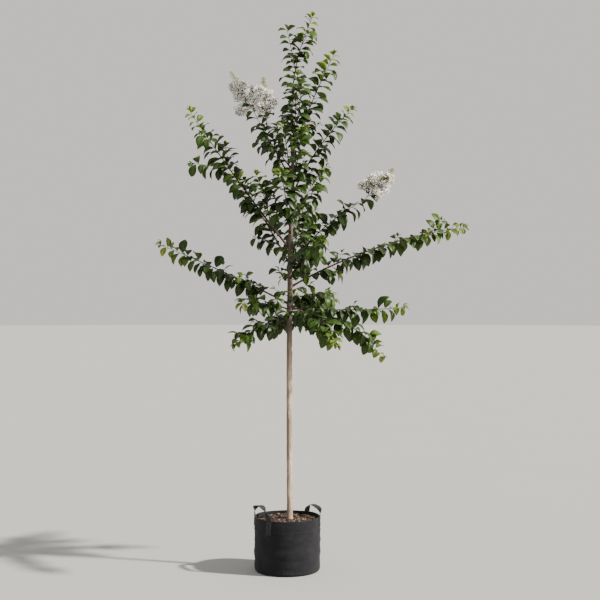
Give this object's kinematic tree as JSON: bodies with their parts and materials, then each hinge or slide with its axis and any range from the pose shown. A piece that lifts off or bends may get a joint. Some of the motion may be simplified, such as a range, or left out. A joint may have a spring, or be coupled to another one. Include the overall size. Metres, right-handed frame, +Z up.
{
  "type": "crape myrtle tree in a fabric pot",
  "caption": "Young white-flowered crape myrtle with one clear stem and an open crown of leafy shoots, growing in a round black felt pot with carrying loops.",
  "frame": {"origin": "middle of the pot's flat underside", "axes": "+Z up along the trunk, +X to the right as the tree is looked at in the picture, -Y towards the viewer"},
  "size_m": [1.7333, 1.1022, 3.0174],
  "materials": {
    "pot_felt": "matte",
    "webbing": "matte",
    "compost": "matte",
    "trunk_bark": "matte",
    "shoot_bark": "matte",
    "foliage": "satin",
    "blossom": "matte"
  },
  "bodies": {
    "root": {"pot": "pot_felt", "loop_left": "webbing", "loop_right": "webbing", "compost": "compost", "trunk": "trunk_bark", "bough_low_left": "shoot_bark", "bough_lowest_left": "shoot_bark", "bough_front_left": "shoot_bark", "bough_low_right": "shoot_bark", "bough_droop_right": "shoot_bark", "bough_front_right": "shoot_bark", "bough_long_right": "shoot_bark", "bough_mid_right": "shoot_bark", "bough_front_low": "shoot_bark", "bough_upright_right": "shoot_bark", "bough_mid_left": "shoot_bark", "bough_mid_left_fork": "shoot_bark", "bough_upper_left": "shoot_bark", "bough_upper_left_fork": "shoot_bark", "bough_upper_right": "shoot_bark", "bough_leader_side": "shoot_bark", "bough_front_mid": "shoot_bark", "bough_front_top": "shoot_bark", "bough_back_low": "shoot_bark", "bough_back_right": "shoot_bark", "bough_back_mid": "shoot_bark", "bough_back_left": "shoot_bark", "bough_front_upper": "shoot_bark", "bough_back_upper": "shoot_bark", "bough_back_top": "shoot_bark", "foliage_low_left": "foliage", "foliage_lowest_left": "foliage", "foliage_front_left": "foliage", "foliage_low_right": "foliage", "foliage_droop_right": "foliage", "foliage_front_right": "foliage", "foliage_long_right": "foliage", "foliage_mid_right": "foliage", "foliage_front_low": "foliage", "foliage_upright_right": "foliage", "foliage_mid_left": "foliage", "foliage_mid_left_fork": "foliage", "foliage_upper_left": "foliage", "foliage_upper_left_fork": "foliage", "foliage_upper_right": "foliage", "foliage_leader_side": "foliage", "foliage_front_mid": "foliage", "foliage_front_top": "foliage", "foliage_back_low": "foliage", "foliage_back_right": "foliage", "foliage_back_mid": "foliage", "foliage_back_left": "foliage", "foliage_front_upper": "foliage", "foliage_back_upper": "foliage", "foliage_back_top": "foliage", "foliage_leader": "foliage", "blossom_upper_left": "blossom", "blossom_upper_left_fork": "blossom", "blossom_mid_right": "blossom"}
  },
  "joints": []
}
